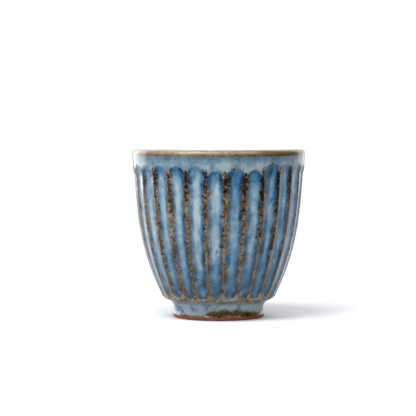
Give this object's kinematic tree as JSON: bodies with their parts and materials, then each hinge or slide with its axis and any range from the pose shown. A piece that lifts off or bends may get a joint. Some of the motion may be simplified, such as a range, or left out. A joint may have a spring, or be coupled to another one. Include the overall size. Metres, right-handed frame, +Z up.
{
  "type": "ribbed teacup",
  "caption": "Thrown stoneware teacup with flutes cut down its tapering wall, a rounded lip and a narrow foot ring, under a mottled blue glaze that breaks to brown on the ridges.",
  "frame": {"origin": "centre of the face that the foot rests on", "axes": "+Z up along the cup's axis, towards the mouth; -Y faces the viewer of the picture"},
  "size_m": [0.084, 0.084, 0.0814],
  "materials": {
    "stoneware": "bare fired red-brown stoneware, matt",
    "blue_glaze": "glossy mottled blue glaze, brown where it runs thin",
    "brown_glaze": "glossy thin brown glaze",
    "pale_glaze": "glossy pale grey-blue glaze"
  },
  "bodies": {
    "root": {"stoneware_body": "stoneware", "foot_ring": "stoneware", "wall_glaze": "blue_glaze", "lip_glaze": "brown_glaze", "liner_glaze": "pale_glaze", "foot_glaze": "pale_glaze", "base_glaze": "pale_glaze"}
  },
  "joints": []
}
